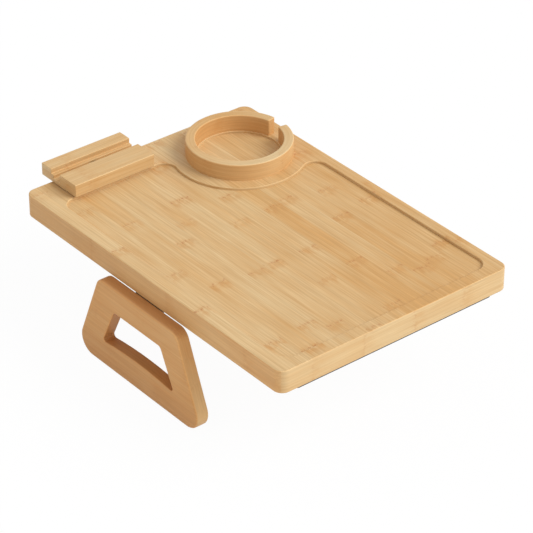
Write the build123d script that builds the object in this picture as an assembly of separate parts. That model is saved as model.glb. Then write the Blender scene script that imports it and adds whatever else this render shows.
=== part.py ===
from build123d import *
import math
import os

# Bamboo tray that sits across a sofa arm, with a cup ring, a turning phone holder and two
# hinged clamp arms. Millimetres. +Z is up. +X runs along the tray, from the end with the cup
# ring and phone holder to the open end. The origin is under the middle of the tray, on the
# plane where its grip strips meet the sofa arm.

# Board
board_length = 356.0
board_width = 250.0
board_thickness = 22.0
board_corner_radius = 9.0
board_edge_round = 1.0

# Shallow tray recess in the board's top
recess_from_cup_end = 34.8
recess_from_open_end = 13.0
recess_from_front_side = 14.8
recess_from_rear_side = 11.2
recess_depth = 2.5
recess_corner_radius = 13.0
recess_swing_radius = 12.0
recess_edge_round = 0.9

# Cup ring and the pocket inside it
ring_from_cup_end = 65.8
ring_from_side = 60.1
ring_bore_diameter = 80.0
ring_wall = 9.1
ring_height = 16.0
ring_land = 12.4
ring_edge_round = 1.2
notch_corner_round = 1.6
notch_angle = 90.5
notch_span = 19.0
pocket_ledge = 1.0
pocket_depth = 2.0
pocket_edge_round = 0.5

# Screws that hold the ring from below
ring_screw_count = 3
ring_screw_shank_radius = 1.75
ring_screw_head_radius = 3.4
ring_screw_bite = 9.0

# Phone holder: a block with a stepped slot, turning on one screw
holder_length = 86.5
holder_depth = 51.5
holder_height = 12.3
holder_overhang = 14.1
holder_from_side = 28.6
holder_edge_round = 0.8
holder_end_round = 0.6
slot_from_back = 14.4
slot_width = 12.8
slot_step_depth = 4.9
slot_ledge = 3.6
slot_well_depth = 3.4
slot_corner_round = 0.5

# Pivot of the phone holder
spacer_washer_thickness = 0.8
spacer_washer_radius = 4.6
head_washer_thickness = 0.7
head_washer_radius = 4.4
pivot_shank_radius = 2.0
pivot_head_radius = 3.7
pivot_head_height = 2.0
pivot_head_round = 0.8
pivot_bite = 14.0

# Anti-slip strips under the two short ends
grip_thickness = 2.0
grip_width = 20.0
grip_from_end = 1.2
grip_from_side = 18.0
grip_corner_radius = 3.0

# Clamp arms
arm_height = 87.8
arm_top_length = 109.8
arm_bottom_length = 181.0
arm_thickness = 12.2
arm_gap = 0.5
arm_inset = 0.6
arm_top_corner_radius = 12.0
arm_bottom_corner_radius = 15.6
arm_edge_round = 2.4
arm_inner_edge_round = 1.0
hole_top_length = 65.0
hole_bottom_length = 100.9
hole_from_top = 25.0
hole_height = 37.9
hole_floor_rise = 3.4
hole_top_corner_radius = 4.0
hole_bottom_corner_radius = 2.5
hole_edge_round = 1.2

# Anti-slip pad on the inner face of each clamp arm
pad_length = 120.0
pad_height = 14.0
pad_thickness = 2.0
pad_from_bottom = 6.0
pad_corner_radius = 3.0

# Hinges between the board and the clamp arms
hinge_length = 35.0
hinge_standoff = 3.2
barrel_radius = 2.8
hinge_pin_radius = 1.4
hinge_pin_proud = 0.7
leaf_thickness = 1.3
leaf_width = 18.0
leaf_corner_radius = 2.0
knuckle_count = 5
leaf_screw_spacing = 20.0
leaf_screw_from_axis = 11.0
leaf_screw_shank_radius = 1.4
leaf_screw_head_radius = 2.7
board_leaf_screw_length = 14.0
arm_leaf_screw_length = 9.5

# Cross recess in every screw head
drive_width_share = 0.24
drive_length_share = 1.1
drive_depth_share = 0.28
tip_length_share = 1.6

# Clearances
turn_clearance = 0.05
seat_clearance = 0.02
knuckle_gap = 0.3
barrel_relief = 0.4
overrun = 5.0

# Heights that everything stands on
board_bottom = grip_thickness
board_top = board_bottom + board_thickness

# Cup ring places
ring_bore_radius = ring_bore_diameter / 2
ring_outer_radius = ring_bore_radius + ring_wall
ring_x = -board_length / 2 + ring_from_cup_end
ring_y = board_width / 2 - ring_from_side
ring_screw_circle_radius = ring_bore_radius + ring_wall / 2

# Phone holder places, from the tray's own cup end
holder_back_x = -board_length / 2 - holder_overhang
holder_front_x = holder_back_x + holder_depth
slot_back_x = holder_back_x + slot_from_back
slot_front_x = slot_back_x + slot_width
well_back_x = slot_back_x + slot_ledge
pivot_x = (well_back_x + slot_front_x) / 2
pivot_y = -board_width / 2 + holder_from_side + holder_length / 2
holder_bottom = board_top + spacer_washer_thickness + turn_clearance
holder_top = holder_bottom + holder_height
ledge_z = holder_top - slot_step_depth
well_z = ledge_z - slot_well_depth
head_seat_z = well_z + turn_clearance + head_washer_thickness

# Clamp arm and hinge places, for the arm on the -Y side
arm_inner_y = -board_width / 2 + arm_inset
arm_top_z = board_bottom - arm_gap
hinge_y = arm_inner_y + hinge_standoff
hinge_z = board_bottom - hinge_standoff
knuckle_length = (hinge_length - (knuckle_count - 1) * knuckle_gap) / knuckle_count


def slab(outline, bottom, height):
    """A flat plate from an outline, standing on a height."""
    return Pos(0, 0, bottom) * extrude(outline, height)


def cross_recess(head_radius, head_top):
    """The cut of a cross-head driver in a screw head."""
    width = head_radius * drive_width_share
    length = head_radius * drive_length_share
    depth = head_radius * drive_depth_share
    place = Pos(0, 0, head_top - depth / 2)
    return place * Box(length, width, depth) + place * Box(width, length, depth)


def countersunk_screw(head_radius, shank_radius, length):
    """A wood screw with its flat head at z = 0 and its tip pointing down."""
    cone = head_radius - shank_radius
    tip = shank_radius * tip_length_share
    outline = Polyline(
        (0, 0),
        (head_radius, 0),
        (shank_radius, -cone),
        (shank_radius, tip - length),
        (0, -length),
        close=True,
    )
    body = revolve(Plane.XZ * make_face(outline), Axis.Z)
    return body - cross_recess(head_radius, 0)


def countersunk_hole(head_radius, shank_radius, length):
    """The hole that a countersunk screw fills, open past its head."""
    cone = head_radius - shank_radius
    radius = shank_radius + seat_clearance
    outline = Polyline(
        (0, overrun),
        (head_radius + seat_clearance, overrun),
        (head_radius + seat_clearance, 0),
        (radius, -cone),
        (radius, -length - seat_clearance),
        (0, -length - seat_clearance),
        close=True,
    )
    return revolve(Plane.XZ * make_face(outline), Axis.Z)


def ring_screw_places():
    """Head places of the ring's screws, pointing up from the board's underside."""
    step = 360 / ring_screw_count
    for index in range(ring_screw_count):
        angle = math.radians(notch_angle + step * (index + 0.5))
        x = ring_x + ring_screw_circle_radius * math.cos(angle)
        y = ring_y + ring_screw_circle_radius * math.sin(angle)
        yield Pos(x, y, board_bottom) * Rot(180, 0, 0)


def board_leaf_screw_places():
    """Head places of a board leaf's screws, in the hinge's own frame."""
    for side in (-1, 1):
        x = side * leaf_screw_spacing / 2
        z = hinge_standoff - leaf_thickness
        yield Pos(x, leaf_screw_from_axis, z) * Rot(180, 0, 0)


def arm_leaf_screw_places():
    """Head places of an arm leaf's screws, in the hinge's own frame."""
    for side in (-1, 1):
        x = side * leaf_screw_spacing / 2
        y = leaf_thickness - hinge_standoff
        yield Pos(x, y, -leaf_screw_from_axis) * Rot(-90, 0, 0)


def hinge_frames():
    """Where the hinge's own frame stands on each side of the tray."""
    front = Pos(0, hinge_y, hinge_z)
    rear = Pos(0, -hinge_y, hinge_z) * Rot(0, 0, 180)
    return {"front": front, "rear": rear}


def recess_outline():
    """Rectangle with a round bite left standing around the cup ring."""
    x_low = -board_length / 2 + recess_from_cup_end
    x_high = board_length / 2 - recess_from_open_end
    y_low = -board_width / 2 + recess_from_front_side
    y_high = board_width / 2 - recess_from_rear_side
    land_radius = ring_outer_radius + ring_land
    centre = Vector(ring_x, ring_y, 0)
    middle = Pos((x_low + x_high) / 2, (y_low + y_high) / 2)
    sheet = middle * Rectangle(x_high - x_low, y_high - y_low)
    sheet -= Pos(ring_x, ring_y) * Circle(land_radius)
    face = sheet.faces().sort_by(SortBy.AREA)[-1]
    outline = Sketch() + face

    def beside_land(vertex):
        return abs((Vector(vertex) - centre).length - land_radius) < seat_clearance

    corners = outline.vertices().filter_by(lambda vertex: not beside_land(vertex))
    outline = fillet(corners, recess_corner_radius)
    joints = [vertex for vertex in outline.vertices() if beside_land(vertex)]
    return fillet(joints, recess_swing_radius)


def make_tray_board():
    board = slab(
        RectangleRounded(board_length, board_width, board_corner_radius),
        board_bottom,
        board_thickness,
    )
    flats = board.faces().sort_by(Axis.Z)
    board = fillet(flats[0].edges() + flats[-1].edges(), board_edge_round)

    board -= slab(recess_outline(), board_top - recess_depth, recess_depth + overrun)
    pocket = Pos(ring_x, ring_y) * Circle(ring_bore_radius - pocket_ledge)
    board -= slab(pocket, board_top - pocket_depth, pocket_depth + overrun)

    rims = board.faces().filter_by(Plane.XY).sort_by(Axis.Z)[-1].inner_wires()
    recess_rim = max(rims, key=lambda wire: wire.length)
    pocket_rim = min(rims, key=lambda wire: wire.length)
    board = fillet(recess_rim.edges(), recess_edge_round)
    board = fillet(
        [edge for edge in board.edges() if same_edge(edge, pocket_rim)],
        pocket_edge_round,
    )

    ring_hole = countersunk_hole(
        ring_screw_head_radius, ring_screw_shank_radius, board_thickness + overrun
    )
    for place in ring_screw_places():
        board -= place * ring_hole
    pilot = Circle(pivot_shank_radius + seat_clearance)
    board -= slab(
        Pos(pivot_x, pivot_y) * pilot,
        board_top - pivot_bite - seat_clearance,
        pivot_bite + overrun,
    )
    leaf_hole = countersunk_hole(
        leaf_screw_head_radius, leaf_screw_shank_radius, board_leaf_screw_length
    )
    for frame in hinge_frames().values():
        for place in board_leaf_screw_places():
            board -= frame * place * leaf_hole
    return board


def same_edge(edge, wire):
    """Whether an edge is the one edge of a round rim."""
    gap = (edge.center() - wire.edges()[0].center()).length
    return gap < seat_clearance and abs(edge.length - wire.length) < seat_clearance


def make_cup_ring():
    half_span = math.radians(notch_span / 2)
    reach = (ring_outer_radius + overrun) / math.cos(half_span)
    middle = math.radians(notch_angle)
    tips = [
        (reach * math.cos(middle + side * half_span), reach * math.sin(middle + side * half_span))
        for side in (-1, 1)
    ]
    wedge = make_face(Polyline((0, 0), tips[0], tips[1], close=True))
    outline = Circle(ring_outer_radius) - Circle(ring_bore_radius) - wedge
    outline = fillet(outline.vertices(), notch_corner_round)
    ring = Pos(ring_x, ring_y) * slab(outline, board_top, ring_height)
    ring = fillet(ring.faces().sort_by(Axis.Z)[-1].edges(), ring_edge_round)
    screw_hole = countersunk_hole(
        ring_screw_head_radius, ring_screw_shank_radius, board_thickness + ring_screw_bite
    )
    for place in ring_screw_places():
        ring -= place * screw_hole
    return ring


def make_cup_ring_screws():
    screw = countersunk_screw(
        ring_screw_head_radius, ring_screw_shank_radius, board_thickness + ring_screw_bite
    )
    return Compound([place * screw for place in ring_screw_places()])


def make_phone_holder():
    outer = [
        (holder_back_x, holder_bottom),
        (holder_front_x, holder_bottom),
        (holder_front_x, holder_top),
        (slot_front_x, holder_top),
    ]
    inner = [
        (slot_front_x, well_z),
        (well_back_x, well_z),
        (well_back_x, ledge_z),
        (slot_back_x, ledge_z),
    ]
    back = [(slot_back_x, holder_top), (holder_back_x, holder_top)]
    profile = make_face(Polyline(*outer, *inner, *back, close=True))
    hidden = [
        vertex
        for vertex in profile.vertices()
        if holder_bottom < vertex.Y < holder_top
    ]
    profile = fillet(hidden, slot_corner_round)
    outside = [
        vertex
        for vertex in profile.vertices()
        if min(abs(vertex.Y - holder_bottom), abs(vertex.Y - holder_top)) < seat_clearance
    ]
    profile = fillet(outside, holder_edge_round)
    y_low = pivot_y - holder_length / 2
    block = extrude(Plane.XZ.offset(-y_low - holder_length) * profile, holder_length)
    ends = block.faces().filter_by(Plane.XZ)
    block = fillet(ends.edges(), holder_end_round)
    bore = Pos(pivot_x, pivot_y) * Circle(pivot_shank_radius + turn_clearance)
    return block - slab(bore, holder_bottom - overrun, well_z - holder_bottom + 2 * overrun)


def washer(radius, thickness, bottom):
    """A flat ring on the pivot screw."""
    outline = Circle(radius) - Circle(pivot_shank_radius + turn_clearance)
    return Pos(pivot_x, pivot_y) * slab(outline, bottom, thickness)


def make_holder_pivot_screw():
    length = head_seat_z - board_top + pivot_bite
    tip = pivot_shank_radius * tip_length_share
    outline = Polyline(
        (0, pivot_head_height),
        (pivot_head_radius, pivot_head_height),
        (pivot_head_radius, 0),
        (pivot_shank_radius, 0),
        (pivot_shank_radius, tip - length),
        (0, -length),
        close=True,
    )
    screw = revolve(Plane.XZ * make_face(outline), Axis.Z)
    crown = screw.faces().sort_by(Axis.Z)[-1].edges()
    screw = fillet(crown, pivot_head_round)
    screw -= cross_recess(pivot_head_radius, pivot_head_height)
    return Pos(pivot_x, pivot_y, head_seat_z) * screw


def make_grip_strip(side):
    length = board_width - 2 * grip_from_side
    x = side * (board_length / 2 - grip_from_end - grip_width / 2)
    outline = RectangleRounded(grip_width, length, grip_corner_radius)
    return Pos(x, 0) * slab(outline, board_bottom - grip_thickness, grip_thickness)


def trapezoid(top_length, bottom_length, top, height, rise, top_radius, bottom_radius):
    """Symmetric outline, wider at its bottom, which may be arched, with rounded corners."""
    half_top = top_length / 2
    half_bottom = bottom_length / 2
    floor = top - height
    left = (-half_bottom, floor)
    right = (half_bottom, floor)
    sides = Polyline(left, (-half_top, top), (half_top, top), right)
    bottom = ThreePointArc(right, (0, floor + rise), left) if rise else Line(right, left)
    face = make_face([*sides.edges(), *bottom.edges()])
    upper = face.vertices().sort_by(Axis.Y)[-2:]
    face = fillet(upper, top_radius)
    lower = face.vertices().sort_by(Axis.Y)[:2]
    return fillet(lower, bottom_radius)


def make_clamp_arm():
    """The arm in the hinge's own frame: its inner face looks along +Y."""
    top = arm_top_z - hinge_z
    outer = trapezoid(
        arm_top_length,
        arm_bottom_length,
        top,
        arm_height,
        0,
        arm_top_corner_radius,
        arm_bottom_corner_radius,
    )
    hole = trapezoid(
        hole_top_length,
        hole_bottom_length,
        top - hole_from_top,
        hole_height,
        hole_floor_rise,
        hole_top_corner_radius,
        hole_bottom_corner_radius,
    )
    face_plane = Plane.XZ.offset(hinge_standoff)
    arm = extrude(face_plane * outer, arm_thickness)
    outer_side = arm.faces().filter_by(Plane.XZ).sort_by(Axis.Y)[0]
    arm = fillet(outer_side.edges(), arm_edge_round)
    inner_side = arm.faces().filter_by(Plane.XZ).sort_by(Axis.Y)[-1]
    arm = fillet(inner_side.edges(), arm_inner_edge_round)
    arm -= extrude(Plane.XZ.offset(hinge_standoff - overrun) * hole, arm_thickness + 2 * overrun)
    rims = [wire for side in arm.faces().filter_by(Plane.XZ) for wire in side.inner_wires()]
    arm = fillet([edge for rim in rims for edge in rim.edges()], hole_edge_round)
    screw_hole = countersunk_hole(
        leaf_screw_head_radius, leaf_screw_shank_radius, arm_leaf_screw_length
    )
    for place in arm_leaf_screw_places():
        arm -= place * screw_hole
    return arm


def make_arm_pad():
    """The pad on the arm's inner face, in the hinge's own frame."""
    z = arm_top_z - hinge_z - arm_height + pad_from_bottom + pad_height / 2
    outline = RectangleRounded(pad_length, pad_height, pad_corner_radius)
    return extrude(Plane.XZ.offset(hinge_standoff) * Pos(0, z) * outline, -pad_thickness)


def knuckle_span(index):
    """Where a knuckle starts and ends along the hinge."""
    start = -hinge_length / 2 + index * (knuckle_length + knuckle_gap)
    return start, start + knuckle_length


def barrel(indices):
    """The knuckles of one leaf, still without their bore."""
    pieces = []
    for index in indices:
        start, end = knuckle_span(index)
        middle = (start + end) / 2
        pieces.append(Pos(middle, 0, 0) * Rot(0, 90, 0) * Cylinder(barrel_radius, end - start))
    return pieces


def leaf(own, other):
    """A hinge leaf that lies along +Y under z = hinge_standoff, in the hinge's own frame."""
    z = hinge_standoff - leaf_thickness / 2
    plate = Pos(0, leaf_width / 2, z) * Box(hinge_length, leaf_width, leaf_thickness)
    free_corners = plate.edges().filter_by(Axis.Z).sort_by(Axis.Y)[-2:]
    plate = fillet(free_corners, leaf_corner_radius)
    reach = barrel_radius + barrel_relief
    for index in other:
        start, end = knuckle_span(index)
        width = end - start + 2 * knuckle_gap
        slot = Box(width, 2 * reach, 2 * reach)
        plate -= Pos((start + end) / 2, 0, z) * slot
    for piece in barrel(own):
        plate += piece
    plate -= Rot(0, 90, 0) * Cylinder(hinge_pin_radius + turn_clearance, hinge_length + overrun)
    hole = countersunk_hole(leaf_screw_head_radius, leaf_screw_shank_radius, leaf_width)
    for place in board_leaf_screw_places():
        plate -= place * hole
    return plate


def make_board_leaf():
    return leaf(range(0, knuckle_count, 2), range(1, knuckle_count, 2))


def make_arm_leaf():
    """The other leaf, mirrored so that it hangs down against the arm."""
    lying = leaf(range(1, knuckle_count, 2), range(0, knuckle_count, 2))
    return mirror(lying, about=Plane(origin=(0, 0, 0), z_dir=(0, 1, 1)))


def make_hinge_pin():
    length = hinge_length + 2 * hinge_pin_proud
    pin = Rot(0, 90, 0) * Cylinder(hinge_pin_radius, length)
    return chamfer(pin.edges(), hinge_pin_proud / 2)


def make_leaf_screws(places, length):
    screw = countersunk_screw(leaf_screw_head_radius, leaf_screw_shank_radius, length)
    return Compound([place * screw for place in places])


def save(node, shape):
    """Write one piece, or one group of like pieces, to its own file."""
    shape.label = node
    export_step(shape, os.path.join("parts", node + ".step"))


def main():
    os.makedirs("parts", exist_ok=True)
    save("tray_board", make_tray_board())
    save("cup_ring", make_cup_ring())
    save("cup_ring_screws", make_cup_ring_screws())
    save("phone_holder", make_phone_holder())
    save("holder_pivot_screw", make_holder_pivot_screw())
    save("holder_head_washer", washer(head_washer_radius, head_washer_thickness, well_z + turn_clearance))
    save("holder_spacer_washer", washer(spacer_washer_radius, spacer_washer_thickness, board_top))
    save("cup_end_grip_strip", make_grip_strip(-1))
    save("open_end_grip_strip", make_grip_strip(1))
    for side, frame in hinge_frames().items():
        save(side + "_clamp_arm", frame * make_clamp_arm())
        save(side + "_arm_pad", frame * make_arm_pad())
        save(side + "_hinge_board_leaf", frame * make_board_leaf())
        save(side + "_hinge_arm_leaf", frame * make_arm_leaf())
        save(side + "_hinge_pin", frame * make_hinge_pin())
        board_screws = make_leaf_screws(board_leaf_screw_places(), board_leaf_screw_length)
        save(side + "_hinge_board_screws", frame * board_screws)
        arm_screws = make_leaf_screws(arm_leaf_screw_places(), arm_leaf_screw_length)
        save(side + "_hinge_arm_screws", frame * arm_screws)


main()
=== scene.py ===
"""Materials, foam strips and stage for the bamboo sofa arm tray.

Laid out as an add-on: the sizes and colours that a user would change are properties, each group
of like pieces has an operator, and the panel in the 3D view's sidebar lists them.
"""

import math
from typing import NamedTuple

import bmesh
import bpy
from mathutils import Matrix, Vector


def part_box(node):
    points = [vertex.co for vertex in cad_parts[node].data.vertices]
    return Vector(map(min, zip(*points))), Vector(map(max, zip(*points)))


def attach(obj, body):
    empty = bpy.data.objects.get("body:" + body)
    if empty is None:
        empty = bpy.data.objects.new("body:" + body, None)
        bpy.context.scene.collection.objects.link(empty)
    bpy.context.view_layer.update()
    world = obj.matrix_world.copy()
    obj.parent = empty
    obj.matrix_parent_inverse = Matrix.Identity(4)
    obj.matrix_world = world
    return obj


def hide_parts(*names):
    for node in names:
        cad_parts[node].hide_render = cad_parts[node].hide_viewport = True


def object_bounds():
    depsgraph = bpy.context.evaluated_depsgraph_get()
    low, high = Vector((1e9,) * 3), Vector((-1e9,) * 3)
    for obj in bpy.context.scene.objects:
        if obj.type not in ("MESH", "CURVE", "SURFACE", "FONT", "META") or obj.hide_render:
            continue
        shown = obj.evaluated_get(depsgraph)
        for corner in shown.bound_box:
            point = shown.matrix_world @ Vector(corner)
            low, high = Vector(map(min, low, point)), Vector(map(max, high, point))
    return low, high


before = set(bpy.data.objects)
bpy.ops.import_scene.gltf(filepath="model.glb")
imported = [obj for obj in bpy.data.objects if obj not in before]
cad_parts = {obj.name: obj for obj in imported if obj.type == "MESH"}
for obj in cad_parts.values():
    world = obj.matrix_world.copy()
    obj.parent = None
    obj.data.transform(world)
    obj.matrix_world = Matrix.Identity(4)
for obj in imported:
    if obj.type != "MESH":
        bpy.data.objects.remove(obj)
cad_low, cad_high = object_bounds()

bl_info = {
    "name": "Sofa Arm Tray",
    "version": (1, 0, 0),
    "blender": (4, 5, 0),
    "location": "View3D > Sidebar > Tray",
    "description": "Dresses the sofa arm tray in bamboo, steel and foam, and sets its stage",
    "category": "Object",
}

MILLIMETRES = 1000.0  # in a metre

# Bamboo strips across the board's top, from the front side to the rear one: the first node
# along the strip and the distance between its nodes, in mm, and the warmth of its tone
BOARD_STRIPS = [
    (-50.5, 116.0, 0.37),
    (7.0, 130.0, 0.45),
    (40.75, 121.0, 0.58),
    (-28.0, 161.0, 0.43),
    (-53.0, 100.0, 0.50),
    (44.5, 130.0, 0.43),
    (-25.0, 117.0, 0.54),
    (45.75, 110.0, 0.50),
    (-25.0, 110.75, 0.74),
    (-28.0, 143.75, 0.51),
    (23.25, 106.25, 0.67),
    (-19.0, 142.25, 0.64),
    (15.75, 93.75, 0.75),
    (0.0, 120.0, 0.73),
]


def linear(red, green, blue):
    """A colour written as screen values from 0 to 255, for Blender's sockets."""
    shares = (value / 255 for value in (red, green, blue))
    return tuple(
        share / 12.92 if share <= 0.04045 else ((share + 0.055) / 1.055) ** 2.4
        for share in shares
    )


def opaque(colour):
    """The same colour with full alpha."""
    return (colour[0], colour[1], colour[2], 1.0)


# Properties


class BambooLook(bpy.types.PropertyGroup):
    """Sizes and colours of the laminated bamboo."""

    strip_width: bpy.props.FloatProperty(
        name="Strip width",
        description="Width of the bamboo strips across the board",
        default=0.01875,
        min=0.004,
        max=0.05,
        unit="LENGTH",
    )
    ply_thickness: bpy.props.FloatProperty(
        name="Ply thickness",
        description="Thickness of the bamboo plies seen on the board's sides",
        default=0.00733,
        min=0.002,
        max=0.02,
        unit="LENGTH",
    )
    pale: bpy.props.FloatVectorProperty(
        name="Pale strips",
        description="Colour of the palest bamboo",
        subtype="COLOR",
        size=3,
        min=0,
        max=1,
        default=linear(218, 189, 142),
    )
    warm: bpy.props.FloatVectorProperty(
        name="Warm strips",
        description="Colour of the warmest bamboo",
        subtype="COLOR",
        size=3,
        min=0,
        max=1,
        default=linear(207, 159, 98),
    )
    # The sides' colours are warmer and more saturated than the top's: together with the edge
    # grain's figure, they carry a painted shade tone, the warm hue that faces turned from the
    # light take on
    side_pale: bpy.props.FloatVectorProperty(
        name="Pale sides",
        description="Palest colour of the bamboo's edge grain, on the board's sides and the arms",
        subtype="COLOR",
        size=3,
        min=0,
        max=1,
        default=linear(224, 182, 126),
    )
    side_warm: bpy.props.FloatVectorProperty(
        name="Warm sides",
        description="Warmest colour of the bamboo's edge grain, on the board's sides and the arms",
        subtype="COLOR",
        size=3,
        min=0,
        max=1,
        default=linear(213, 155, 91),
    )
    node: bpy.props.FloatVectorProperty(
        name="Node marks",
        description="Colour of the marks where the cane had its nodes",
        subtype="COLOR",
        size=3,
        min=0,
        max=1,
        default=linear(180, 112, 62),
    )
    fibre_contrast: bpy.props.FloatProperty(
        name="Fibre contrast",
        description="How much the finest fibres darken and lighten the bamboo",
        default=0.16,
        min=0,
        max=1,
        subtype="FACTOR",
    )
    streak_contrast: bpy.props.FloatProperty(
        name="Streak contrast",
        description="How much the streaks of a few millimetres darken and lighten the bamboo",
        default=0.5,
        min=0,
        max=1,
        subtype="FACTOR",
    )
    # Painted highlight: how much paler the bamboo is painted along its rounded edges, in place of
    # the light those edges catch
    edge_highlight: bpy.props.FloatProperty(
        name="Eased edges",
        description="How much paler the bamboo is where its edges are rounded over",
        default=0.14,
        min=0,
        max=1,
        subtype="FACTOR",
    )
    roughness: bpy.props.FloatProperty(
        name="Roughness",
        description="Roughness of the oiled surface",
        default=0.5,
        min=0,
        max=1,
        subtype="FACTOR",
    )


class HardwareLook(bpy.types.PropertyGroup):
    """Colours and roughness of the hinges, screws and washers."""

    steel: bpy.props.FloatVectorProperty(
        name="Steel",
        description="Colour of the hinges, screws and the pivot's head washer",
        subtype="COLOR",
        size=3,
        min=0,
        max=1,
        default=linear(112, 98, 84),
    )
    steel_roughness: bpy.props.FloatProperty(
        name="Steel roughness",
        description="Roughness of the brushed steel",
        default=0.36,
        min=0,
        max=1,
        subtype="FACTOR",
    )
    nylon: bpy.props.FloatVectorProperty(
        name="Nylon",
        description="Colour of the washer under the phone holder",
        subtype="COLOR",
        size=3,
        min=0,
        max=1,
        default=linear(226, 222, 210),
    )
    nylon_roughness: bpy.props.FloatProperty(
        name="Nylon roughness",
        description="Roughness of the nylon",
        default=0.45,
        min=0,
        max=1,
        subtype="FACTOR",
    )


class FoamLook(bpy.types.PropertyGroup):
    """Colour, roughness and sizes of the anti-slip strips and arm pads."""

    colour: bpy.props.FloatVectorProperty(
        name="Foam",
        description="Colour of the anti-slip strips and pads",
        subtype="COLOR",
        size=3,
        min=0,
        max=1,
        default=linear(66, 64, 66),
    )
    edge: bpy.props.FloatProperty(
        name="Soft edge",
        description="How far the foam's edge rolls in",
        default=0.0008,
        min=0.0001,
        max=0.0009,
        unit="LENGTH",
    )
    cell: bpy.props.FloatProperty(
        name="Cell size",
        description="Size of the foam's cells",
        default=0.0007,
        min=0.0002,
        max=0.005,
        unit="LENGTH",
    )
    roughness: bpy.props.FloatProperty(
        name="Roughness",
        description="Roughness of the foam",
        default=0.86,
        min=0,
        max=1,
        subtype="FACTOR",
    )


class StageLook(bpy.types.PropertyGroup):
    """Light and camera."""

    sky: bpy.props.FloatProperty(
        name="Sky light",
        description="Strength of the even light from all round",
        default=0.62,
        min=0,
        max=2,
    )
    key: bpy.props.FloatProperty(
        name="Key light",
        description="Strength of the large soft lamp",
        default=1.98,
        min=0,
        max=10,
    )
    key_spread: bpy.props.FloatProperty(
        name="Key spread",
        description="Apparent width of the soft lamp",
        default=math.radians(38),
        min=0,
        max=math.radians(120),
        subtype="ANGLE",
    )
    shadow: bpy.props.FloatProperty(
        name="Floor shadow",
        description="How much of the object's shadow shows on the white floor",
        default=0.04,
        min=0,
        max=1,
        subtype="FACTOR",
    )
    lens: bpy.props.FloatProperty(
        name="Lens",
        description="Focal length of the camera in millimetres",
        default=180.9,
        min=20,
        max=600,
    )


# Shader arithmetic


class Wire:
    """An output socket of a material that works in Python arithmetic."""

    def __init__(self, socket):
        self.socket = socket

    def node(self, kind, settings=None, values=None, output=0):
        """Add a node of any kind to this wire's tree and return one of its outputs."""
        tree = self.socket.id_data
        made = tree.nodes.new(kind)
        for name, value in (settings or {}).items():
            if name == "stops":
                set_stops(made.color_ramp, value)
            else:
                setattr(made, name, value)
        for name, value in (values or {}).items():
            if isinstance(value, Wire):
                tree.links.new(value.socket, made.inputs[name])
            else:
                made.inputs[name].default_value = value
        return Wire(made.outputs[output])

    def maths(self, operation, *values):
        """A Math node with this wire as its first value."""
        sockets = dict(enumerate((self, *values)))
        return self.node("ShaderNodeMath", {"operation": operation}, sockets)

    def __add__(self, other):
        return self.maths("ADD", other)

    def __radd__(self, other):
        return self.maths("ADD", other)

    def __mul__(self, other):
        return self.maths("MULTIPLY", other)

    def __rmul__(self, other):
        return self.maths("MULTIPLY", other)

    def __sub__(self, other):
        return self.maths("SUBTRACT", other)

    def __rsub__(self, other):
        return self.node("ShaderNodeMath", {"operation": "SUBTRACT"}, {0: other, 1: self})

    def __truediv__(self, other):
        return self.maths("DIVIDE", other)

    def __gt__(self, other):
        return self.maths("GREATER_THAN", other)

    def __lt__(self, other):
        return self.maths("LESS_THAN", other)

    def __abs__(self):
        return self.maths("ABSOLUTE")

    def __floor__(self):
        return self.maths("FLOOR")


def set_stops(ramp, stops):
    """Fill a colour ramp with (place, colour) stops that hold until the next one."""
    ramp.interpolation = "CONSTANT"
    while len(ramp.elements) < len(stops):
        ramp.elements.new(1.0)
    for element, (place, colour) in zip(ramp.elements, stops):
        element.position = place
        element.color = opaque(colour)


def parts(vector):
    """The three numbers of a vector wire."""
    return [vector.node("ShaderNodeSeparateXYZ", {}, {0: vector}, output) for output in range(3)]


def joined(x, y, z):
    """A vector wire from three numbers, the first of which is a wire."""
    return x.node("ShaderNodeCombineXYZ", {}, {0: x, 1: y, 2: z})


def noise(x, y, z, detail=2.0, roughness=0.5):
    """Smooth noise from 0 to 1 at a place given by three numbers."""
    values = {"Vector": joined(x, y, z), "Scale": 1.0, "Detail": detail, "Roughness": roughness}
    return x.node("ShaderNodeTexNoise", {}, values)


def chance(x, y):
    """A number from 0 to 1 that is the same for a whole strip or internode."""
    return x.node(
        "ShaderNodeTexWhiteNoise", {"noise_dimensions": "2D"}, {"Vector": joined(x, y, 0.0)}
    )


def fade(distance, reach):
    """One at distance zero, falling smoothly to zero at reach."""
    return distance.node(
        "ShaderNodeMapRange",
        {"interpolation_type": "SMOOTHSTEP"},
        {"Value": distance, "From Min": 0.0, "From Max": reach, "To Min": 1.0, "To Max": 0.0},
    )


def centred(wire):
    """A number from 0 to 1, moved to lie about zero."""
    return wire - 0.5


def tinted(amount, first, second):
    """From the first colour towards the second by an amount from 0 to 1."""
    return amount.node(
        "ShaderNodeMix",
        {"data_type": "RGBA", "clamp_factor": True},
        {0: amount, 6: first, 7: second},
        2,
    )


def shaded(colour, share):
    """A colour made darker or lighter by a share."""
    return share.node(
        "ShaderNodeVectorMath", {"operation": "SCALE"}, {0: colour, "Scale": share}
    )


def raised(height, strength, distance):
    """A surface normal from a height."""
    return height.node(
        "ShaderNodeBump", {}, {"Strength": strength, "Distance": distance, "Height": height}
    )


def start_material(name):
    """An empty material: itself, its shader, and the piece's own places and normals."""
    material = bpy.data.materials.new(name)
    material.use_nodes = True
    tree = material.node_tree
    tree.nodes.clear()
    output = tree.nodes.new("ShaderNodeOutputMaterial")
    shader = tree.nodes.new("ShaderNodeBsdfPrincipled")
    tree.links.new(shader.outputs["BSDF"], output.inputs["Surface"])
    coordinates = tree.nodes.new("ShaderNodeTexCoord")
    place = Wire(coordinates.outputs["Object"])
    return material, shader, place, Wire(coordinates.outputs["Normal"])


def feed(shader, **wires):
    """Link wires to the shader's sockets, named with _ for each space."""
    for name, wire in wires.items():
        socket = shader.inputs[name.replace("_", " ")]
        shader.id_data.links.new(wire.socket, socket)


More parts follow.
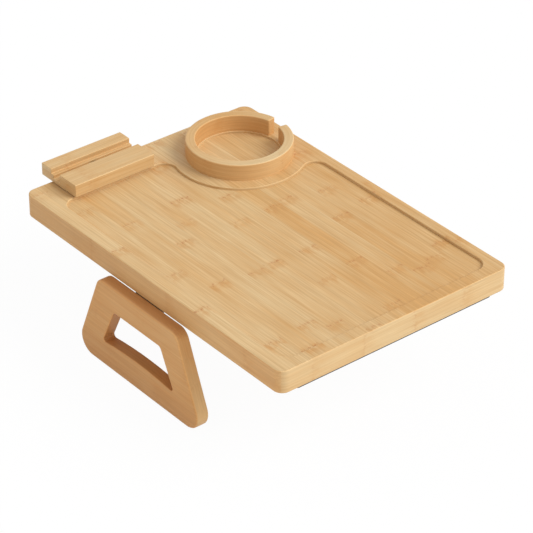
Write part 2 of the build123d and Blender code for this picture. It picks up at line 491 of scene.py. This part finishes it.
def millimetres(place):
    """The x, y and z of a place, in millimetres."""
    scaled = place.node(
        "ShaderNodeVectorMath", {"operation": "SCALE"}, {0: place, "Scale": MILLIMETRES}
    )
    return parts(scaled)


# Bamboo. Lengths are in millimetres. Strips are numbered, and each number gives its own figure.


class Layer(NamedTuple):
    """A noise drawn out along the grain. Its scales are in turns per millimetre, and its stride
    sets neighbouring strips apart."""

    along: float
    across: float
    stride: float
    detail: float = 2.0
    roughness: float = 0.5


class Face(NamedTuple):
    """The figure of a face that is one strip: its number, its first node along the grain, the
    distance between its nodes, and its warmth."""

    strip: float
    first: float
    spacing: float
    warmth: float


FIBRES = Layer(0.03, 1.9, 11.0, 3.0, 0.6)
STREAKS = Layer(0.014, 0.65, 7.0, 2.0, 0.7)
BANDS = Layer(0.008, 0.2, 5.0)
PATCHES = Layer(0.02, 0.04, 0.0)
SWAY = Layer(0.12, 0.25, 2.3)
CLOUDS = Layer(0.12, 0.25, 9.1)
DASHES = Layer(0.22, 0.9, 4.1)

# How much each noise warms the tone. Streaks cool it where they lighten it.
BAND_WARMTH = 0.65
TONE_WARMTH = 0.14
PATCH_WARMTH = 0.6
STREAK_COOLNESS = 0.8
NODE_WARMTH = 0.35
PLAIN_STREAKS = 0.4  # share of the streaks that shows without any figure

# Nodes: a wavy, broken line across the strip in a darker zone that lies past it
WAVE_SCALE = 0.24
WAVE_STRIDES = (3.7, 5.9)
WAVE_SPAN = 8.0
SWAY_REACH = 10.0
SWAY_SPAN = 3.0
FAINTEST_NODE = 0.6
NODE_SPREAD = 0.5
NODE_CHANCE_STEP = 7.5
ZONE_MIDDLE = 4.0
ZONE_REACH = 11.0
ZONE_STRENGTH = 0.14
CLOUD_LEVEL = 0.4
CLOUD_RANGE = 0.25
LINE_REACH = 2.2
LINE_STRENGTH = 0.66
DASH_LEVEL = 0.38
DASH_RANGE = 0.13

# Surface
FACING = 0.7  # the share of a normal that counts as facing one way
# Where the painted highlight along rounded edges lies: the turn of the normal at its middle, and
# how far it reaches
HIGHLIGHT_TURN = 0.7
HIGHLIGHT_RANGE = 0.35
SEAM_REACH = 0.35
SEAM_DARKNESS = 0.05
SPECULAR = 0.3
ROUGHNESS_SPREAD = 0.16
FIBRE_HEIGHT = 0.5
STREAK_HEIGHT = 0.3
SEAM_DEPTH = 0.6
LINE_DEPTH = 0.2
RELIEF_STRENGTH = 0.35
RELIEF_DISTANCE = 0.00012  # in metres


def layered(layer, along, across, deep, strip):
    """A layer's noise at a place along the grain, across it and into the wood."""
    depth = deep * layer.across + strip * layer.stride
    return noise(
        along * layer.along, across * layer.across, depth, layer.detail, layer.roughness
    )


def lamella(shader, look, colours, place, strip, nodes, warmth, seam, figure, turned):
    """Finish the shader as bamboo. The colours are its palest and warmest ones. The wires are a
    place along the grain, across it and into the wood, the strip's number, its first node and the
    distance between its nodes, its warmth, how near the strip's seam is, how strong its figure is,
    and how far the surface is turned over a rounded edge, from 0 on one side of it to 1 on the
    other, which sets where a painted highlight makes the rounded edges paler."""
    along, across, deep = place
    first, spacing = nodes
    turns = (along - first) / spacing
    count = math.floor(turns + 0.5)
    wave = noise(across * WAVE_SCALE, strip * WAVE_STRIDES[0], count * WAVE_STRIDES[1])
    off = along - first - count * spacing + centred(wave) * WAVE_SPAN
    near = fade(abs(off), SWAY_REACH)
    sway = centred(layered(SWAY, along, across, 0.0, strip))
    swayed = across + near * sway * SWAY_SPAN

    fine = layered(FIBRES, along, swayed, deep, strip)
    streak = layered(STREAKS, along, swayed, deep, strip)
    band = layered(BANDS, along, swayed, deep, strip)
    patch = layered(PATCHES, along, across, deep, strip)
    cloud = layered(CLOUDS, along, swayed, 0.0, strip)
    dash = layered(DASHES, along, swayed, 0.0, strip)
    tone = chance(strip + 0.5, math.floor(turns) + 0.5)
    streaks = centred(streak) * (figure * (1.0 - PLAIN_STREAKS) + PLAIN_STREAKS)

    luck = chance(count + 0.5, strip + NODE_CHANCE_STEP)
    strength = (luck * NODE_SPREAD + FAINTEST_NODE) * figure
    zone = fade(abs(off - ZONE_MIDDLE), ZONE_REACH) * fade(cloud - CLOUD_LEVEL, CLOUD_RANGE)
    zone = zone * strength
    line = fade(abs(off), LINE_REACH) * fade(dash - DASH_LEVEL, DASH_RANGE)
    mark = line * strength * LINE_STRENGTH + zone * ZONE_STRENGTH

    warm = warmth + centred(band) * BAND_WARMTH + centred(tone) * TONE_WARMTH
    warm = warm + centred(patch) * PATCH_WARMTH - streaks * STREAK_COOLNESS + zone * NODE_WARMTH
    grain = centred(fine) * look.fibre_contrast + streaks * look.streak_contrast
    # Painted highlight: the bamboo is painted paler along the rounded edges that would catch the
    # light
    painted_highlight = fade(abs(turned - HIGHLIGHT_TURN), HIGHLIGHT_RANGE)
    light = 1.0 + grain - seam * SEAM_DARKNESS + painted_highlight * look.edge_highlight
    colour = tinted(mark, shaded(tinted(warm, *colours), light), opaque(look.node))

    rough = centred(fine) * ROUGHNESS_SPREAD + look.roughness
    height = fine * FIBRE_HEIGHT + streak * STREAK_HEIGHT - seam * SEAM_DEPTH
    relief = raised(height - line * LINE_DEPTH, RELIEF_STRENGTH, RELIEF_DISTANCE)
    shader.inputs["Specular IOR Level"].default_value = SPECULAR
    feed(shader, Base_Color=colour, Roughness=rough, Normal=relief)


def seam_of(across, start, pitch):
    """Which strip a place is in, and how near its seam is."""
    turns = (across - start) / pitch
    strip = math.floor(turns)
    edge = 0.5 - abs(turns - strip - 0.5)
    return strip, fade(edge * pitch, SEAM_REACH)


NODE_RANGE = 200.0  # the table holds nodes this far to either side, and spacings up to this


def strip_table(strip, rows):
    """The first node, node spacing and warmth of the strip with that number."""
    stops = []
    for index, (first, spacing, warmth) in enumerate(rows):
        held = ((first + NODE_RANGE) / (2 * NODE_RANGE), spacing / NODE_RANGE, warmth)
        stops.append((index / len(rows), held))
    place = (strip + 0.5) / len(rows)
    colour = strip.node("ShaderNodeValToRGB", {"stops": stops}, {"Fac": place})
    first, spacing, warmth = parts(colour)
    return first * (2 * NODE_RANGE) - NODE_RANGE, spacing * NODE_RANGE, warmth


def side_shade_colours(look, share):
    """The palest and warmest colours of face grain, moved by a share towards the sides' colours,
    which carry a painted shade tone.
    """
    return (
        tinted(share, opaque(look.pale), opaque(look.side_pale)),
        tinted(share, opaque(look.warm), opaque(look.side_warm)),
    )


BOARD_SIDE = Face(20.0, 27.0, 105.0, 0.5)
BOARD_END = Face(24.0, 19.0, 55.0, 0.3)
FIRST_STRIP = -6.8  # the front edge of the first strip, in strip widths from the middle
FIRST_PLY = 2.0  # the height of the lowest ply's foot
PLY_SEAM_SHARE = 0.3
SIDE_FROM = 114.5  # the board's long sides lie past this, to either side
SIDE_RANGE = 0.6
SIDE_FIGURE = 0.4

# The top warms towards the open end along its middle strips, and the near side dulls towards
# the cup end
DRIFT_FROM_X = -20.0
DRIFT_MIDDLE_Y = 40.0
DRIFT_REACH_Y = 80.0
DRIFT_WARMTH = 0.0022  # for each millimetre
DULL_FROM_X = -60.0
DULL_REACH_X = 220.0
DULL_SHARE = 0.07


def board_bamboo(look):
    """Strips along the board's top, plain grain on its sides and ends."""
    material, shader, place, normal = start_material("bamboo_board")
    x, y, z = millimetres(place)
    facing_x, facing_y, facing_z = parts(normal)
    flat = abs(facing_z) > FACING
    end = (abs(facing_x) > abs(facing_y)) * (1.0 - flat)
    side = 1.0 - flat - end
    width = look.strip_width * MILLIMETRES
    strip, top_seam = seam_of(y, FIRST_STRIP * width, width)
    ply_seam = seam_of(z, FIRST_PLY, look.ply_thickness * MILLIMETRES)[1]
    first, spacing, warmth = strip_table(strip, BOARD_STRIPS)
    middle = fade(abs(y - DRIFT_MIDDLE_Y), DRIFT_REACH_Y)
    warmth = warmth + (x - DRIFT_FROM_X) * middle * DRIFT_WARMTH
    # the long sides take the sides' colours, with their painted shade tone
    long_sides = fade(1.0 - abs(facing_y), SIDE_RANGE) * (abs(y) > SIDE_FROM)
    dull = 1.0 - long_sides * fade(x - DULL_FROM_X, DULL_REACH_X) * DULL_SHARE
    lamella(
        shader,
        look,
        [shaded(colour, dull) for colour in side_shade_colours(look, long_sides)],
        place=(x + (y - x) * end, z + (y - z) * flat, y * side + z * flat),
        strip=strip * flat + side * BOARD_SIDE.strip + end * BOARD_END.strip,
        nodes=(
            first * flat + side * BOARD_SIDE.first + end * BOARD_END.first,
            spacing * flat + side * BOARD_SIDE.spacing + end * BOARD_END.spacing,
        ),
        warmth=warmth * flat + side * BOARD_SIDE.warmth + end * BOARD_END.warmth,
        seam=top_seam * flat + ply_seam * (1.0 - flat) * PLY_SEAM_SHARE,
        figure=flat * (1.0 - SIDE_FIGURE) + SIDE_FIGURE,
        turned=facing_z,
    )
    return material


RING = Face(31.0, 10.2, 69.1, 0.75)
RING_HALF_WALL = 4.6
RING_BORE_STEP = 3.0  # the bore's wall is another strip
RING_BORE_SHIFT = 91.9  # and has its nodes elsewhere
RING_TOP_COOLNESS = 0.2
RING_DRIFT = 0.006  # how much cooler it gets for each millimetre towards the open end
# how far the ring's walls take the sides' colours, with their painted shade tone
RING_SIDE_TONE_SHARE = 0.5
RING_FIGURE = 0.3


def ring_bamboo(look, centre_x, centre_y, middle_radius):
    """Grain that runs round the cup ring."""
    material, shader, place, normal = start_material("bamboo_ring")
    x, y, z = millimetres(place)
    facing_z = parts(normal)[2]
    flat = abs(facing_z) > FACING
    out_x = x - centre_x
    out_y = y - centre_y
    angle = out_x.maths("ARCTAN2", out_y * -1.0)
    radius = (out_x * out_x + out_y * out_y).maths("SQRT")
    inner = radius < middle_radius
    bore_wall = inner * (1.0 - flat)
    drift = out_x * (1.0 - bore_wall) * RING_DRIFT
    lamella(
        shader,
        look,
        side_shade_colours(look, (1.0 - flat) * RING_SIDE_TONE_SHARE),
        place=(angle * middle_radius, z + (radius - z) * flat, radius + (z - radius) * flat),
        strip=bore_wall * RING_BORE_STEP + RING.strip,
        nodes=(RING.first - inner * RING_BORE_SHIFT, RING.spacing),
        warmth=RING.warmth - flat * RING_TOP_COOLNESS - drift,
        seam=0.0,
        figure=RING_FIGURE,
        turned=facing_z,
    )
    return material


FIRST_BLOCK_PLY = 0.9  # the height of one seam, from which the others are counted
BLOCK_SEAM_SHARE = 0.35
BLOCK_END_COOLNESS = 0.05

HOLDER = Face(50.0, -47.6, 75.0, 0.5)
HOLDER_PLY = 13.0
HOLDER_FIGURE = 0.5

ARMS = {
    "front": Face(70.0, -15.0, 63.0, 0.8),
    "rear": Face(90.0, -15.0, 63.0, 0.8),
}
ARM_PLY = 21.65
ARM_FIGURE = 0.25

# A clamp arm gets painted shade on its flat faces, such as its top under the board and the floor
# of its hand hole, and on its hand hole's walls; it is darker at its foot, and its slanted ends
# get paler downward
ARM_SLANT = 0.4
ARM_OUTSIDE = 40.0  # half the length past which its ends, run up along their slant, lie
ARM_FOOT = -89.0
FOOT_REACH = 45.0
FOOT_DARKNESS = 0.2
PALE_REACH = 90.0
PALE_COOLNESS = 1.1
PAINTED_SHADE_DARKNESS = 0.47
LEDGE_SHADE_RANGE = 0.6
END_RANGE = 0.5


def arm_shade_and_tones(look, colours, x, z, facing_x, facing_z):
    """A clamp arm's colours, with painted shade on its flat faces and hand-hole walls and a darker
    foot, and how much cooler its tone gets.
    """
    # painted shade where the board and the hand hole keep the light off: the flat faces and the
    # hand hole's walls
    ledge_shade = fade(1.0 - abs(facing_z), LEDGE_SHADE_RANGE)
    ends = fade(1.0 - abs(facing_x), END_RANGE)
    outer = (abs(x) + z * ARM_SLANT) > ARM_OUTSIDE
    above_foot = z - ARM_FOOT
    foot = fade(above_foot, FOOT_REACH) * (1.0 - ends)
    shade_and_foot = (ledge_shade + ends * (1.0 - outer)) * PAINTED_SHADE_DARKNESS + foot * FOOT_DARKNESS
    shade_and_foot_colours = [tinted(shade_and_foot, colour, opaque(look.node)) for colour in colours]
    return shade_and_foot_colours, ends * outer * fade(above_foot, PALE_REACH) * PALE_COOLNESS


def block_bamboo(look, name, face, ply, figure, is_arm):
    """Grain along a block's length: x on the clamp arms, y on the phone holder."""
    material, shader, place, normal = start_material(name)
    x, y, z = millimetres(place)
    facing_x, facing_y, facing_z = parts(normal)
    if is_arm:
        # the arms take the sides' colours all over, with their painted shade tone
        colours = (opaque(look.side_pale), opaque(look.side_warm))
        # with painted shade on the arm's flat faces and hand-hole walls
        colours, cooler = arm_shade_and_tones(look, colours, x, z, facing_x, facing_z)
        warmth = face.warmth - cooler
        turned = abs(facing_y)
        end_along, end_across = z, y
    else:
        colours = (opaque(look.pale), opaque(look.warm))
        warmth = face.warmth
        turned = facing_z
        x, y = y, x
        facing_x = facing_y
        end_along, end_across = y, z
    end = abs(facing_x) > FACING
    flat = abs(facing_z) > FACING
    strip, seam = seam_of(z, FIRST_BLOCK_PLY, ply)
    lamella(
        shader,
        look,
        colours,
        place=(
            x + (end_along - x) * end,
            (z + (y - z) * flat) * (1.0 - end) + end_across * end,
            (y + (z - y) * flat) * (1.0 - end),
        ),
        strip=strip + face.strip,
        nodes=(chance(strip, 1.0) * face.spacing + face.first, face.spacing),
        warmth=warmth - end * BLOCK_END_COOLNESS,
        seam=seam * BLOCK_SEAM_SHARE,
        figure=figure,
        turned=turned,
    )
    return material


# Other materials

# The noises' scales are in turns per millimetre
BRUSH_ALONG = 0.5
BRUSH_ACROSS = 9.0
BRUSH_DETAIL = 3.0
STEEL_CLOUD = 0.25
NYLON_CLOUD = 0.6
FOAM_CLOUD = 0.2
FOAM_CLOUD_DETAIL = 3.0

# How much they change a material's tone and its roughness
BRUSH_TONE = 0.12
BRUSH_ROUGHNESS = 0.2
STEEL_CLOUD_TONE = 0.2
NYLON_CLOUD_TONE = 0.08
FOAM_CLOUD_TONE = 0.2
CELL_TONE = 0.25
CELL_CENTRE_TONE = 0.82
CLOUD_ROUGHNESS = 0.1


def cloudy(place, scale, detail=2.0):
    """Even noise that lies about zero."""
    x, y, z = millimetres(place)
    return centred(noise(x * scale, y * scale, z * scale, detail))


def brushed_steel(look):
    """Dark plated steel with fine brushing along x."""
    material, shader, place, _ = start_material("brushed_steel")
    x, y, z = millimetres(place)
    brushed = noise(x * BRUSH_ALONG, y * BRUSH_ACROSS, z * BRUSH_ACROSS, BRUSH_DETAIL)
    cloud = cloudy(place, STEEL_CLOUD)
    worn = 1.0 + centred(brushed) * BRUSH_TONE + cloud * STEEL_CLOUD_TONE
    rough = centred(brushed) * BRUSH_ROUGHNESS + cloud * CLOUD_ROUGHNESS + look.steel_roughness
    relief = raised(brushed, strength=0.15, distance=0.00004)
    shader.inputs["Metallic"].default_value = 1.0
    feed(shader, Base_Color=shaded(tuple(look.steel), worn), Roughness=rough, Normal=relief)
    return material


def nylon(look):
    """Milky plastic for the spacer washer."""
    material, shader, place, _ = start_material("nylon")
    cloud = cloudy(place, NYLON_CLOUD)
    colour = shaded(tuple(look.nylon), 1.0 + cloud * NYLON_CLOUD_TONE)
    feed(shader, Base_Color=colour, Roughness=cloud * CLOUD_ROUGHNESS + look.nylon_roughness)
    return material


def cell_foam(look):
    """Dark closed-cell foam."""
    material, shader, place, _ = start_material("grip_foam")
    scale = 1 / look.cell
    cells = place.node(
        "ShaderNodeTexVoronoi", {"feature": "F1"}, {"Vector": place, "Scale": scale}
    )
    cloud = cloudy(place, FOAM_CLOUD, FOAM_CLOUD_DETAIL)
    tone = CELL_CENTRE_TONE + cells * CELL_TONE + cloud * FOAM_CLOUD_TONE
    colour = shaded(tuple(look.colour), tone)
    rough = cloud * CLOUD_ROUGHNESS + look.roughness
    relief = raised(cells, strength=0.5, distance=0.0002)
    feed(shader, Base_Color=colour, Roughness=rough, Normal=relief)
    return material


def dress(node, material):
    """Give a CAD node a material in all its slots."""
    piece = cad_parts[node]
    if not piece.data.materials:
        piece.data.materials.append(material)
    for slot in piece.material_slots:
        slot.material = material


# Foam pieces. Rises are shares of the foam's thickness, from its glued face to its free one.

CORNER_STEPS = 8
ROLL_STEPS = 6
WALL_RISES = (0.0, 0.25, 0.55)  # levels up the upright part of the edge
ROLL_RISE = 0.38  # what the rolled part adds
CROWN = [(2.2, 0.965), (4, 0.985), (7, 1.0)]  # inset in roll widths, and rise
FOAM_CORNER = 0.003
LARGEST_INSET = FOAM_CORNER * 0.9  # keeps the corners round


def rounded_outline(half_length, half_width, radius):
    """Points round a rectangle with rounded corners, and their outward directions."""
    points = []
    for quarter in range(4):
        turn = math.pi / 2 * quarter
        corner_x = (half_length - radius) * (1 if quarter in (0, 3) else -1)
        corner_y = (half_width - radius) * (1 if quarter in (0, 1) else -1)
        for step in range(CORNER_STEPS + 1):
            angle = turn + math.pi / 2 * step / CORNER_STEPS
            out = Vector((math.cos(angle), math.sin(angle)))
            points.append((Vector((corner_x, corner_y)) + out * radius, out))
    return points


def foam_profile(edge):
    """(inset, rise) up the foam's edge and in over its crown, with an edge that rolls in by
    that much."""
    wall = WALL_RISES[-1]
    profile = [(0.0, rise) for rise in WALL_RISES]
    for step in range(1, ROLL_STEPS + 1):
        angle = math.pi / 2 * step / ROLL_STEPS
        profile.append((edge * (1 - math.cos(angle)), wall + ROLL_RISE * math.sin(angle)))
    return profile + [(edge * widths, rise) for widths, rise in CROWN]


def foam_slab(name, low, high, normal_axis, glued_high, look):
    """A thin foam strip in the space of its solid: flat where it is glued, rolled in at its free
    edge and slightly crowned. Its thickness lies along normal_axis, glued on the higher side or
    the lower one."""
    axes = [axis for axis in range(3) if axis != normal_axis]
    centre = (low + high) / 2
    half = [(high[axis] - low[axis]) / 2 for axis in axes]
    glued = high[normal_axis] if glued_high else low[normal_axis]
    free = low[normal_axis] if glued_high else high[normal_axis]
    thickness = free - glued
    mesh = bmesh.new()
    rings = []
    for inset, rise in foam_profile(look.edge):
        ring = []
        shrink = min(inset, LARGEST_INSET)
        for point, out in rounded_outline(half[0], half[1], FOAM_CORNER):
            place = [0.0, 0.0, 0.0]
            place[axes[0]] = centre[axes[0]] + point.x - out.x * shrink
            place[axes[1]] = centre[axes[1]] + point.y - out.y * shrink
            place[normal_axis] = glued + thickness * rise
            ring.append(mesh.verts.new(place))
        rings.append(ring)
    for lower, upper in zip(rings, rings[1:]):
        for index in range(len(lower)):
            after = (index + 1) % len(lower)
            mesh.faces.new((lower[index], lower[after], upper[after], upper[index]))
    mesh.faces.new(rings[-1])
    mesh.faces.new(list(reversed(rings[0])))
    bmesh.ops.recalc_face_normals(mesh, faces=mesh.faces)
    for face in mesh.faces:
        face.smooth = len(face.verts) == 4
    data = bpy.data.meshes.new(name)
    mesh.to_mesh(data)
    mesh.free()
    piece = bpy.data.objects.new(name, data)
    bpy.context.scene.collection.objects.link(piece)
    return piece


# Stage

WHITE = (1.0, 1.0, 1.0, 1.0)
FLOOR_REACH = 12.0
FLOOR_GAP = 0.0015
BACKFACING = 6  # the Geometry node's output that tells a face's back
KEY_DIRECTION = (0.62, 0.5, 0.68)
CAMERA_PLACE = (1.519292, -1.232106, 1.258683)
CAMERA_TURN = (56.92604, -0.118677, 50.915659)  # in degrees
SENSOR_WIDTH = 36.0


def seen_rays(rays):
    """One for the rays that see the background: camera, glossy and transmitted ones."""
    camera = Wire(rays.outputs["Is Camera Ray"])
    glossy = Wire(rays.outputs["Is Glossy Ray"])
    through = Wire(rays.outputs["Is Transmission Ray"])
    return camera.maths("MAXIMUM", glossy).maths("MAXIMUM", through)


def stage_floor(look, height):
    """A wide white floor that keeps part of the object's shadow, and isn't seen from below."""
    data = bpy.data.meshes.new("floor")
    signs = [(-1, -1), (1, -1), (1, 1), (-1, 1)]
    corners = [(x * FLOOR_REACH, y * FLOOR_REACH, height) for x, y in signs]
    data.from_pydata(corners, [], [(0, 1, 2, 3)])
    floor = bpy.data.objects.new("floor", data)
    bpy.context.scene.collection.objects.link(floor)

    material = bpy.data.materials.new("white_floor")
    material.use_nodes = True
    tree = material.node_tree
    tree.nodes.clear()
    seen = seen_rays(tree.nodes.new("ShaderNodeLightPath"))
    matt = seen.node("ShaderNodeBsdfDiffuse", {}, {"Color": WHITE})
    white = seen.node("ShaderNodeEmission", {}, {"Color": WHITE, "Strength": 1.0})
    shown = seen.node("ShaderNodeMixShader", {}, {0: 1 - look.shadow, 1: matt, 2: white})
    lit = seen.node("ShaderNodeMixShader", {}, {0: seen, 1: matt, 2: shown})
    clear = seen.node("ShaderNodeBsdfTransparent")
    below = seen.node("ShaderNodeNewGeometry", output=BACKFACING)
    surface = seen.node("ShaderNodeMixShader", {}, {0: below, 1: lit, 2: clear})
    output = tree.nodes.new("ShaderNodeOutputMaterial")
    tree.links.new(surface.socket, output.inputs["Surface"])
    data.materials.append(material)


def stage_world(look):
    """White where it is seen, and an even soft light on the object."""
    world = bpy.data.worlds.new("studio")
    world.use_nodes = True
    tree = world.node_tree
    tree.nodes.clear()
    seen = seen_rays(tree.nodes.new("ShaderNodeLightPath"))
    light = seen.node("ShaderNodeBackground", {}, {"Color": WHITE, "Strength": look.sky})
    white = seen.node("ShaderNodeBackground", {}, {"Color": WHITE, "Strength": 1.0})
    surface = seen.node("ShaderNodeMixShader", {}, {0: seen, 1: light, 2: white})
    output = tree.nodes.new("ShaderNodeOutputWorld")
    tree.links.new(surface.socket, output.inputs["Surface"])
    bpy.context.scene.world = world


def stage_key(look, scene):
    """One large soft lamp."""
    key = bpy.data.lights.new("key", "SUN")
    key.energy = look.key
    key.angle = look.key_spread
    lamp = bpy.data.objects.new("key", key)
    lamp.location = KEY_DIRECTION
    lamp.rotation_euler = Vector(KEY_DIRECTION).to_track_quat("Z", "Y").to_euler()
    scene.collection.objects.link(lamp)


def stage_camera(look, scene):
    """The camera, and colours that show as they are."""
    lens = bpy.data.cameras.new("camera")
    lens.lens = look.lens
    lens.sensor_width = SENSOR_WIDTH
    camera = bpy.data.objects.new("camera", lens)
    camera.location = CAMERA_PLACE
    camera.rotation_euler = [math.radians(turn) for turn in CAMERA_TURN]
    scene.collection.objects.link(camera)
    scene.camera = camera
    scene.view_settings.view_transform = "Standard"


# Operators


class TRAY_OT_board(bpy.types.Operator):
    """Finish the tray board in strips of bamboo"""

    bl_idname = "tray.board"
    bl_label = "Finish Board"

    def execute(self, context):
        dress("tray_board", board_bamboo(context.scene.tray_bamboo))
        return {"FINISHED"}


class TRAY_OT_cup_ring(bpy.types.Operator):
    """Finish the cup ring in bamboo whose grain runs round it"""

    bl_idname = "tray.cup_ring"
    bl_label = "Finish Cup Ring"

    def execute(self, context):
        low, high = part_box("cup_ring")
        radius = (high.x - low.x) / 2 * MILLIMETRES
        centre_x = (low.x + high.x) / 2 * MILLIMETRES
        centre_y = low.y * MILLIMETRES + radius
        look = context.scene.tray_bamboo
        dress("cup_ring", ring_bamboo(look, centre_x, centre_y, radius - RING_HALF_WALL))
        return {"FINISHED"}


class TRAY_OT_phone_holder(bpy.types.Operator):
    """Finish the turning phone holder in bamboo"""

    bl_idname = "tray.phone_holder"
    bl_label = "Finish Phone Holder"

    def execute(self, context):
        look = context.scene.tray_bamboo
        material = block_bamboo(look, "bamboo_holder", HOLDER, HOLDER_PLY, HOLDER_FIGURE, False)
        dress("phone_holder", material)
        return {"FINISHED"}


class TRAY_OT_clamp_arms(bpy.types.Operator):
    """Finish both clamp arms in bamboo"""

    bl_idname = "tray.clamp_arms"
    bl_label = "Finish Clamp Arms"

    def execute(self, context):
        look = context.scene.tray_bamboo
        for side, face in ARMS.items():
            name = "bamboo_" + side + "_arm"
            material = block_bamboo(look, name, face, ARM_PLY, ARM_FIGURE, True)
            dress(side + "_clamp_arm", material)
        return {"FINISHED"}


class TRAY_OT_hardware(bpy.types.Operator):
    """Finish the hinges, screws and washers"""

    bl_idname = "tray.hardware"
    bl_label = "Finish Hardware"

    def execute(self, context):
        look = context.scene.tray_hardware
        steel = brushed_steel(look)
        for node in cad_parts:
            if "hinge" in node or "screw" in node or node == "holder_head_washer":
                dress(node, steel)
        dress("holder_spacer_washer", nylon(look))
        return {"FINISHED"}


class TRAY_OT_foam(bpy.types.Operator):
    """Make the soft anti-slip strips and arm pads"""

    bl_idname = "tray.foam"
    bl_label = "Make Foam Strips and Pads"

    def execute(self, context):
        look = context.scene.tray_foam
        foam = cell_foam(look)
        places = [
            ("cup_end_grip_strip", "tray", 2, True),
            ("open_end_grip_strip", "tray", 2, True),
            ("front_arm_pad", "front_arm", 1, False),
            ("rear_arm_pad", "rear_arm", 1, True),
        ]
        for node, body, axis, glued_high in places:
            low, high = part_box(node)
            piece = foam_slab(node + "_foam", low, high, axis, glued_high, look)
            piece.data.materials.append(foam)
            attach(piece, body)
            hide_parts(node)
        return {"FINISHED"}


class TRAY_OT_stage(bpy.types.Operator):
    """Set the floor, the soft studio light and the camera"""

    bl_idname = "tray.stage"
    bl_label = "Set Stage"

    def execute(self, context):
        scene = context.scene
        look = scene.tray_stage
        stage_floor(look, cad_low.z - FLOOR_GAP)
        stage_world(look)
        stage_key(look, scene)
        stage_camera(look, scene)
        return {"FINISHED"}


BAMBOO_OPERATORS = (
    TRAY_OT_board,
    TRAY_OT_cup_ring,
    TRAY_OT_phone_holder,
    TRAY_OT_clamp_arms,
)
GROUPS = (
    ("tray_bamboo", BambooLook, BAMBOO_OPERATORS),
    ("tray_hardware", HardwareLook, (TRAY_OT_hardware,)),
    ("tray_foam", FoamLook, (TRAY_OT_foam,)),
    ("tray_stage", StageLook, (TRAY_OT_stage,)),
)


class TRAY_PT_panel(bpy.types.Panel):
    """Lists the tray's pieces, with their sizes and colours"""

    bl_idname = "TRAY_PT_panel"
    bl_label = "Sofa Arm Tray"
    bl_space_type = "VIEW_3D"
    bl_region_type = "UI"
    bl_category = "Tray"

    def draw(self, context):
        for name, look, operators in GROUPS:
            box = self.layout.box()
            group = getattr(context.scene, name)
            for key in look.__annotations__:
                box.prop(group, key)
            for operator in operators:
                box.operator(operator.bl_idname)


def register():
    for name, look, operators in GROUPS:
        bpy.utils.register_class(look)
        setattr(bpy.types.Scene, name, bpy.props.PointerProperty(type=look))
        for operator in operators:
            bpy.utils.register_class(operator)
    bpy.utils.register_class(TRAY_PT_panel)


def unregister():
    bpy.utils.unregister_class(TRAY_PT_panel)
    for name, look, operators in reversed(GROUPS):
        for operator in reversed(operators):
            bpy.utils.unregister_class(operator)
        delattr(bpy.types.Scene, name)
        bpy.utils.unregister_class(look)


def main():
    register()
    bpy.ops.tray.board()
    bpy.ops.tray.cup_ring()
    bpy.ops.tray.phone_holder()
    bpy.ops.tray.clamp_arms()
    bpy.ops.tray.hardware()
    bpy.ops.tray.foam()
    bpy.ops.tray.stage()


if __name__ == "__main__":
    main()
